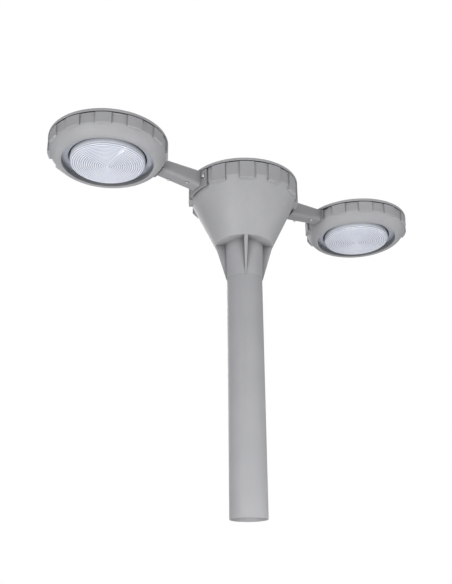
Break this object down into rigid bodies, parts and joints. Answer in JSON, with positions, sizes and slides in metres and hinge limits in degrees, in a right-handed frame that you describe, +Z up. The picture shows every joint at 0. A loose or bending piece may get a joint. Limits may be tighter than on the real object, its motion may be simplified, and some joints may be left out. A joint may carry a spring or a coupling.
{
  "type": "solar street lamp",
  "caption": "Pole-top solar street lamp: a funnel head holding the battery on a round pole, disc lamp heads on short box arms, and round solar panels on top of the heads.",
  "frame": {"origin": "centre of the pole's open lower end", "axes": "+Z up along the pole, +X along the arms towards the right lamp"},
  "size_m": [1.0812, 0.29, 0.87],
  "materials": {
    "powder_coat": "cast aluminium with light grey satin powder coat",
    "painted_steel": "steel tube with light grey satin powder coat",
    "panel_glass": "clear tempered glass",
    "white_sheet": "matt white backsheet",
    "silicon_cells": "near-black coated silicon under glass",
    "black_rubber": "matt black moulded rubber",
    "stainless": "plain stainless steel",
    "trim_aluminium": "satin anodised, blue-grey",
    "plain_aluminium": "mill finish sheet",
    "clear_polycarbonate": "slightly milky clear plastic with fine concentric rings",
    "board": "white solder mask",
    "driver_case": "matt white moulded case",
    "cable_jacket": "matt black jacket",
    "battery_case": "blue sleeved metal can",
    "strap": "black woven strap",
    "controller_case": "matt black moulded case",
    "switch_steel": "turned stainless steel",
    "switch_button": "black moulded cap"
  },
  "bodies": {
    "lamp": {"battery_cells": "battery_case", "battery_strap": "strap", "battery_tray": "plain_aluminium", "centre_lid_gasket": "black_rubber", "centre_lid_ring": "powder_coat", "centre_lid_screws": "stainless", "centre_panel_backsheet": "white_sheet", "centre_panel_glass": "panel_glass", "centre_solar_cells": "silicon_cells", "charge_controller": "controller_case", "controller_plate": "plain_aluminium", "funnel_body": "powder_coat", "left_arm": "powder_coat", "left_arm_cable": "cable_jacket", "left_arm_cover": "powder_coat", "left_arm_cover_screws": "stainless", "left_grommets": "black_rubber", "left_housing": "powder_coat", "left_lamp_bolts": "stainless", "left_led_board": "board", "left_led_driver": "driver_case", "left_lens": "clear_polycarbonate", "left_lens_gasket": "black_rubber", "left_lid_gasket": "black_rubber", "left_lid_ring": "powder_coat", "left_lid_screws": "stainless", "left_mounting_plate": "plain_aluminium", "left_panel_backsheet": "white_sheet", "left_panel_glass": "panel_glass", "left_plate_screws": "stainless", "left_saddle_bolts": "stainless", "left_solar_cells": "silicon_cells", "left_trim_ring": "trim_aluminium", "pole": "painted_steel", "pole_set_screws": "stainless", "right_arm": "powder_coat", "right_arm_cable": "cable_jacket", "right_arm_cover": "powder_coat", "right_arm_cover_screws": "stainless", "right_grommets": "black_rubber", "right_housing": "powder_coat", "right_lamp_bolts": "stainless", "right_led_board": "board", "right_led_driver": "driver_case", "right_lens": "clear_polycarbonate", "right_lens_gasket": "black_rubber", "right_lid_gasket": "black_rubber", "right_lid_ring": "powder_coat", "right_lid_screws": "stainless", "right_mounting_plate": "plain_aluminium", "right_panel_backsheet": "white_sheet", "right_panel_glass": "panel_glass", "right_plate_screws": "stainless", "right_saddle_bolts": "stainless", "right_solar_cells": "silicon_cells", "right_trim_ring": "trim_aluminium", "switch_housing": "switch_steel", "switch_nut": "switch_steel"},
    "button": {"switch_button": "switch_button"}
  },
  "joints": [
    {"name": "switch_press", "type": "slide", "parent": "lamp", "child": "button", "axis": [-0.5, -0.866, 0], "range_m": [0, 0.002], "stiffness_N_per_m": 1500}
  ]
}
